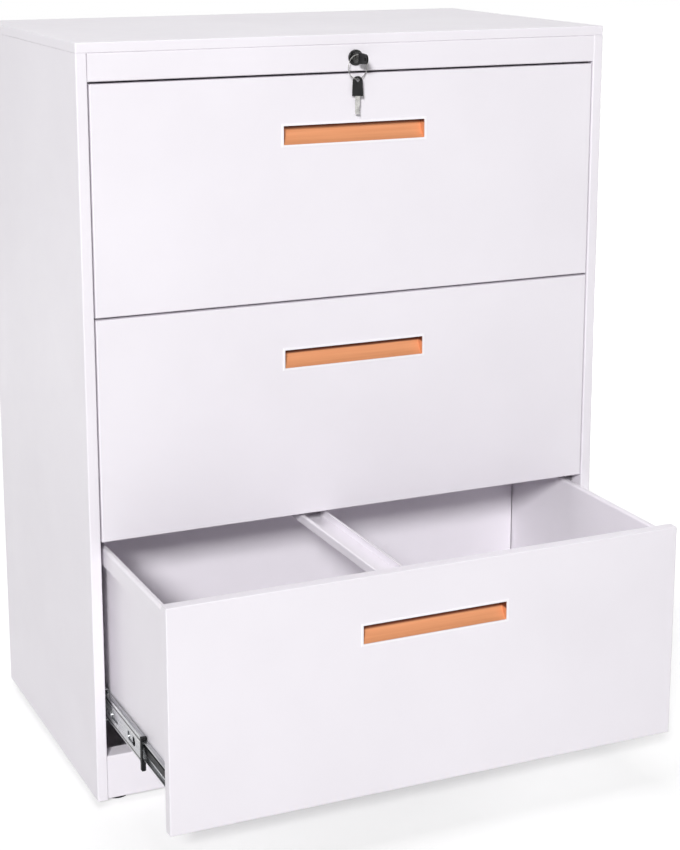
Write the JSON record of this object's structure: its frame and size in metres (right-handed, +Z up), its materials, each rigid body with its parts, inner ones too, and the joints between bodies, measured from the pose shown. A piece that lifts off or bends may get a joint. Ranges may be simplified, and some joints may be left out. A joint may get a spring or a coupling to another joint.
{
  "type": "lateral filing cabinet",
  "caption": "White folded-steel lateral filing cabinet with hanging-file drawers on telescopic slides, recessed orange pulls, a key lock and screw feet.",
  "frame": {"origin": "on the floor under the middle of the carcass footprint", "axes": "+X to the right seen from the front, drawers open towards -Y, +Z up"},
  "size_m": [0.762, 0.7077, 1.025],
  "materials": {
    "white_paint": "smooth satin powder coat",
    "zinc_steel": "bright zinc plating",
    "black_plastic": "moulded satin",
    "orange_plastic": "moulded satin",
    "key_steel": "bright nickel plating",
    "black_metal": "black satin"
  },
  "bodies": {
    "cabinet": {"left_side_panel": "white_paint", "right_side_panel": "white_paint", "back_panel": "white_paint", "lid": "white_paint", "base_pan": "white_paint", "top_rail": "white_paint", "plinth_rail": "white_paint", "front_uprights": "white_paint", "rear_uprights": "white_paint", "lock_housing": "black_metal", "lock_nut": "zinc_steel", "lock_channel": "zinc_steel", "bottom_slide_outers": "zinc_steel", "middle_slide_outers": "zinc_steel", "top_slide_outers": "zinc_steel"},
    "front_left_foot": {"front_left_foot": "black_plastic"},
    "front_right_foot": {"front_right_foot": "black_plastic"},
    "rear_left_foot": {"rear_left_foot": "black_plastic"},
    "rear_right_foot": {"rear_right_foot": "black_plastic"},
    "lock_core": {"lock_plug": "key_steel", "lock_shaft": "zinc_steel", "key_blade": "key_steel", "key_bow": "black_plastic"},
    "hanging_keys": {"key_ring": "key_steel", "spare_key_blade": "key_steel", "spare_key_bow": "black_plastic"},
    "lock_bar": {"lock_bar": "zinc_steel"},
    "bottom_drawer": {"bottom_drawer_front": "white_paint", "bottom_drawer_tray": "white_paint", "bottom_drawer_left_side": "white_paint", "bottom_drawer_right_side": "white_paint", "bottom_handle_cup": "orange_plastic", "bottom_slide_inners": "zinc_steel"},
    "bottom_file_rail": {"bottom_file_rail": "white_paint"},
    "bottom_slide_middles": {"bottom_slide_middles": "zinc_steel"},
    "bottom_outer_ball_cages": {"bottom_outer_ball_cages": "zinc_steel"},
    "bottom_inner_ball_cages": {"bottom_inner_ball_cages": "zinc_steel"},
    "bottom_release_levers": {"bottom_release_levers": "black_plastic"},
    "middle_drawer": {"middle_drawer_front": "white_paint", "middle_drawer_tray": "white_paint", "middle_drawer_left_side": "white_paint", "middle_drawer_right_side": "white_paint", "middle_handle_cup": "orange_plastic", "middle_slide_inners": "zinc_steel"},
    "middle_file_rail": {"middle_file_rail": "white_paint"},
    "middle_slide_middles": {"middle_slide_middles": "zinc_steel"},
    "middle_outer_ball_cages": {"middle_outer_ball_cages": "zinc_steel"},
    "middle_inner_ball_cages": {"middle_inner_ball_cages": "zinc_steel"},
    "middle_release_levers": {"middle_release_levers": "black_plastic"},
    "top_drawer": {"top_drawer_front": "white_paint", "top_drawer_tray": "white_paint", "top_drawer_left_side": "white_paint", "top_drawer_right_side": "white_paint", "top_handle_cup": "orange_plastic", "top_slide_inners": "zinc_steel"},
    "top_file_rail": {"top_file_rail": "white_paint"},
    "top_slide_middles": {"top_slide_middles": "zinc_steel"},
    "top_outer_ball_cages": {"top_outer_ball_cages": "zinc_steel"},
    "top_inner_ball_cages": {"top_inner_ball_cages": "zinc_steel"},
    "top_release_levers": {"top_release_levers": "black_plastic"}
  },
  "joints": [
    {"name": "front_left_foot_turn", "type": "hinge", "parent": "cabinet", "child": "front_left_foot", "pos_m": [-0.346, -0.1985, 0.01], "axis": [0, 0, 1], "continuous": true},
    {"name": "front_right_foot_turn", "type": "hinge", "parent": "cabinet", "child": "front_right_foot", "pos_m": [0.346, -0.1985, 0.01], "axis": [0, 0, 1], "continuous": true},
    {"name": "rear_left_foot_turn", "type": "hinge", "parent": "cabinet", "child": "rear_left_foot", "pos_m": [-0.346, 0.1985, 0.01], "axis": [0, 0, 1], "continuous": true},
    {"name": "rear_right_foot_turn", "type": "hinge", "parent": "cabinet", "child": "rear_right_foot", "pos_m": [0.346, 0.1985, 0.01], "axis": [0, 0, 1], "continuous": true},
    {"name": "key_turn", "type": "hinge", "parent": "cabinet", "child": "lock_core", "pos_m": [0, -0.2285, 0.994], "axis": [0, 1, 0], "range_deg": [0, 90]},
    {"name": "lock_bar_slide", "type": "slide", "parent": "cabinet", "child": "lock_bar", "axis": [0, 0, -1], "range_m": [0, 0.01414]},
    {"name": "key_ring_swing", "type": "hinge", "parent": "cabinet", "child": "hanging_keys", "pos_m": [0, -0.236, 0.9982], "axis": [-1, 0, 0], "range_deg": [0, 50]},
    {"name": "bottom_drawer_slide", "type": "slide", "parent": "cabinet", "child": "bottom_drawer", "axis": [0, -1, 0], "range_m": [-0.25, 0.15]},
    {"name": "bottom_slide_middles_slide", "type": "slide", "parent": "cabinet", "child": "bottom_slide_middles", "axis": [0, -1, 0], "range_m": [-0.15, 0.09]},
    {"name": "bottom_outer_ball_cages_slide", "type": "slide", "parent": "cabinet", "child": "bottom_outer_ball_cages", "axis": [0, -1, 0], "range_m": [-0.075, 0.045]},
    {"name": "bottom_inner_ball_cages_slide", "type": "slide", "parent": "cabinet", "child": "bottom_inner_ball_cages", "axis": [0, -1, 0], "range_m": [-0.2, 0.12]},
    {"name": "bottom_file_rail_slide", "type": "slide", "parent": "bottom_drawer", "child": "bottom_file_rail", "axis": [1, 0, 0], "range_m": [-0.045, 0.11]},
    {"name": "bottom_release_levers_turn", "type": "hinge", "parent": "bottom_drawer", "child": "bottom_release_levers", "pos_m": [0, -0.4425, 0.136], "axis": [1, 0, 0], "range_deg": [0, 4]},
    {"name": "middle_drawer_slide", "type": "slide", "parent": "cabinet", "child": "middle_drawer", "axis": [0, -1, 0], "range_m": [0, 0.4]},
    {"name": "middle_slide_middles_slide", "type": "slide", "parent": "cabinet", "child": "middle_slide_middles", "axis": [0, -1, 0], "range_m": [0, 0.24]},
    {"name": "middle_outer_ball_cages_slide", "type": "slide", "parent": "cabinet", "child": "middle_outer_ball_cages", "axis": [0, -1, 0], "range_m": [0, 0.12]},
    {"name": "middle_inner_ball_cages_slide", "type": "slide", "parent": "cabinet", "child": "middle_inner_ball_cages", "axis": [0, -1, 0], "range_m": [0, 0.32]},
    {"name": "middle_file_rail_slide", "type": "slide", "parent": "middle_drawer", "child": "middle_file_rail", "axis": [1, 0, 0], "range_m": [-0.045, 0.11]},
    {"name": "middle_release_levers_turn", "type": "hinge", "parent": "middle_drawer", "child": "middle_release_levers", "pos_m": [0, -0.1925, 0.437], "axis": [1, 0, 0], "range_deg": [0, 4]},
    {"name": "top_drawer_slide", "type": "slide", "parent": "cabinet", "child": "top_drawer", "axis": [0, -1, 0], "range_m": [0, 0.4]},
    {"name": "top_slide_middles_slide", "type": "slide", "parent": "cabinet", "child": "top_slide_middles", "axis": [0, -1, 0], "range_m": [0, 0.24]},
    {"name": "top_outer_ball_cages_slide", "type": "slide", "parent": "cabinet", "child": "top_outer_ball_cages", "axis": [0, -1, 0], "range_m": [0, 0.12]},
    {"name": "top_inner_ball_cages_slide", "type": "slide", "parent": "cabinet", "child": "top_inner_ball_cages", "axis": [0, -1, 0], "range_m": [0, 0.32]},
    {"name": "top_file_rail_slide", "type": "slide", "parent": "top_drawer", "child": "top_file_rail", "axis": [1, 0, 0], "range_m": [-0.045, 0.11]},
    {"name": "top_release_levers_turn", "type": "hinge", "parent": "top_drawer", "child": "top_release_levers", "pos_m": [0, -0.1925, 0.738], "axis": [1, 0, 0], "range_deg": [0, 4]}
  ],
  "couplings": [
    {"joint": "key_turn", "follows": "lock_bar_slide", "rad_per_m": 111.07},
    {"joint": "bottom_slide_middles_slide", "follows": "bottom_drawer_slide", "ratio": 0.6},
    {"joint": "bottom_outer_ball_cages_slide", "follows": "bottom_drawer_slide", "ratio": 0.3},
    {"joint": "bottom_inner_ball_cages_slide", "follows": "bottom_drawer_slide", "ratio": 0.8},
    {"joint": "middle_slide_middles_slide", "follows": "middle_drawer_slide", "ratio": 0.6},
    {"joint": "middle_outer_ball_cages_slide", "follows": "middle_drawer_slide", "ratio": 0.3},
    {"joint": "middle_inner_ball_cages_slide", "follows": "middle_drawer_slide", "ratio": 0.8},
    {"joint": "top_slide_middles_slide", "follows": "top_drawer_slide", "ratio": 0.6},
    {"joint": "top_outer_ball_cages_slide", "follows": "top_drawer_slide", "ratio": 0.3},
    {"joint": "top_inner_ball_cages_slide", "follows": "top_drawer_slide", "ratio": 0.8}
  ]
}
